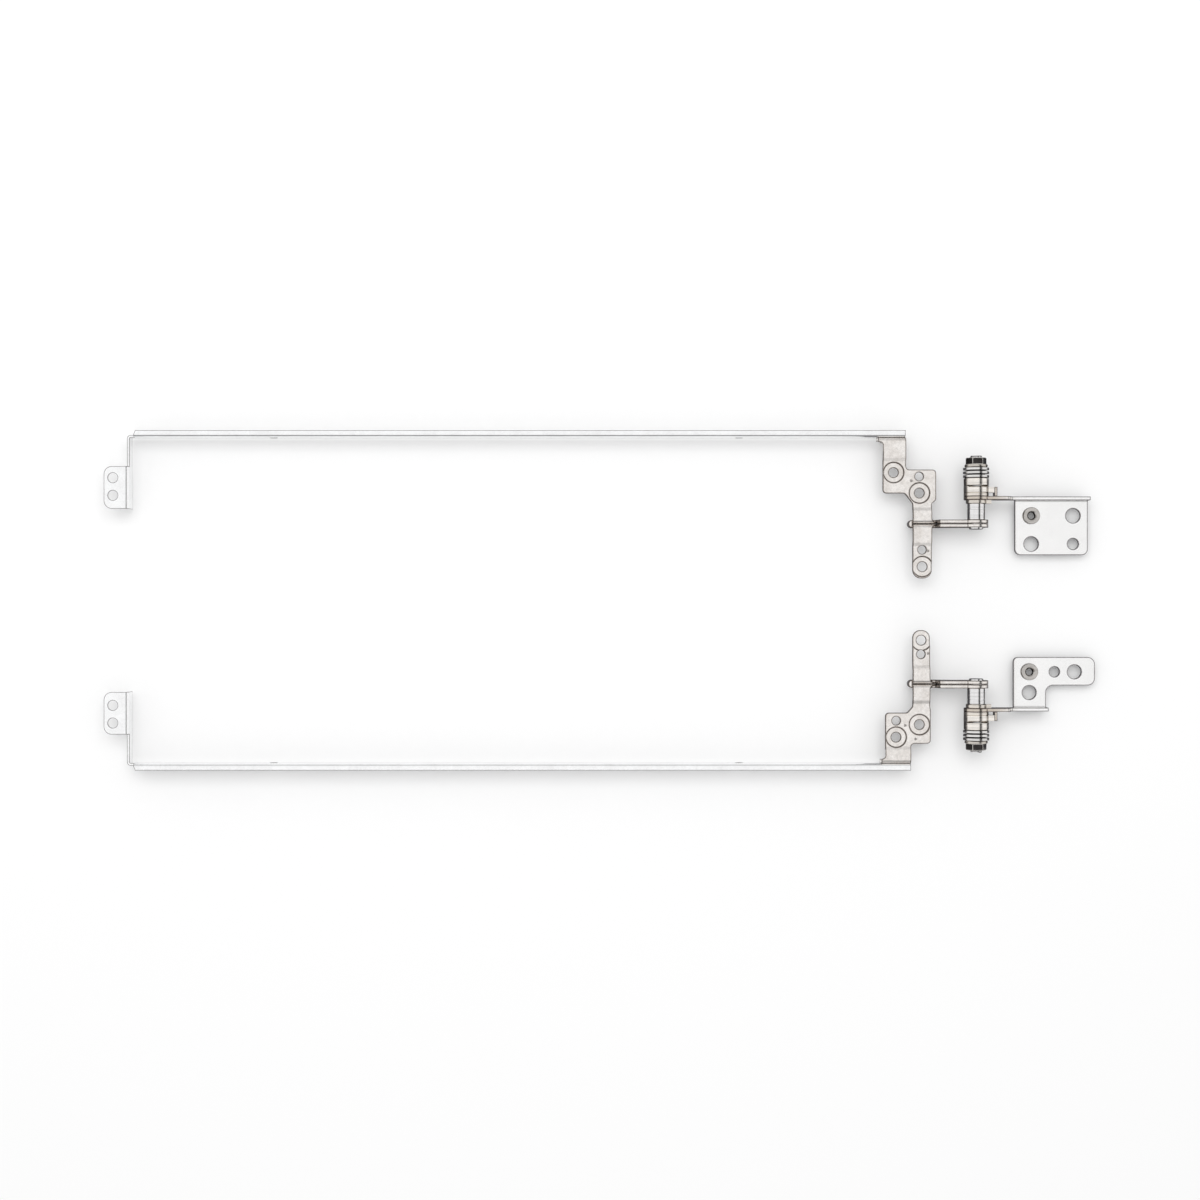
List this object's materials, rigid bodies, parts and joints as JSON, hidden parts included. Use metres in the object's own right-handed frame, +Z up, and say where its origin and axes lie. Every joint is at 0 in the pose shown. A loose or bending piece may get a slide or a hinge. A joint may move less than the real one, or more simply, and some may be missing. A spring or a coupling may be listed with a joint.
{
  "type": "laptop hinge pair",
  "caption": "Laptop hinge pair opened flat: long display rails with screw tabs, folded lid brackets, friction barrels with cams and disc springs, and base brackets with screw holes.",
  "frame": {"origin": "middle of the bounding box, on its bottom", "axes": "+X from the lid rails' tabs to the base brackets, +Y from the left-hand to the right-hand hinge, +Z up; the hinge axis lies along Y"},
  "size_m": [0.2764, 0.0946, 0.0086],
  "materials": {
    "rail_steel": "bright cool plating on rolled strip",
    "nickel_plate": "warm nickel plating, softly mottled",
    "base_steel": "pale satin nickel plating",
    "turned_steel": "bright turned steel",
    "washer_steel": "oiled sintered and stamped steel",
    "spring_steel": "oiled spring steel with bright rims",
    "black_nut": "blackened steel"
  },
  "bodies": {
    "base_brackets": {"right_base_bracket": "base_steel", "right_clinch_nut": "turned_steel", "right_friction_washer": "washer_steel", "right_fixed_cam": "washer_steel", "left_base_bracket": "base_steel", "left_clinch_nut": "turned_steel", "left_friction_washer": "washer_steel", "left_fixed_cam": "washer_steel"},
    "right_lid": {"right_rail": "rail_steel", "right_rail_rivets": "turned_steel", "right_lid_bracket": "nickel_plate", "right_shaft": "turned_steel", "right_stop_washer": "washer_steel", "right_moving_cam": "washer_steel", "right_disc_spring_1": "spring_steel", "right_disc_spring_2": "spring_steel", "right_disc_spring_3": "spring_steel", "right_disc_spring_4": "spring_steel", "right_disc_spring_5": "spring_steel", "right_disc_spring_6": "spring_steel", "right_end_washer": "spring_steel", "right_lock_nut": "black_nut"},
    "left_lid": {"left_rail": "rail_steel", "left_rail_rivets": "turned_steel", "left_lid_bracket": "nickel_plate", "left_shaft": "turned_steel", "left_stop_washer": "washer_steel", "left_moving_cam": "washer_steel", "left_disc_spring_1": "spring_steel", "left_disc_spring_2": "spring_steel", "left_disc_spring_3": "spring_steel", "left_disc_spring_4": "spring_steel", "left_disc_spring_5": "spring_steel", "left_disc_spring_6": "spring_steel", "left_end_washer": "spring_steel", "left_lock_nut": "black_nut"}
  },
  "joints": [
    {"name": "right_hinge", "type": "hinge", "parent": "base_brackets", "child": "right_lid", "pos_m": [0.10425, 0.028, 0.005], "axis": [0, 1, 0], "range_deg": [0, 180]},
    {"name": "left_hinge", "type": "hinge", "parent": "base_brackets", "child": "left_lid", "pos_m": [0.10425, -0.028, 0.005], "axis": [0, 1, 0], "range_deg": [0, 180]}
  ]
}
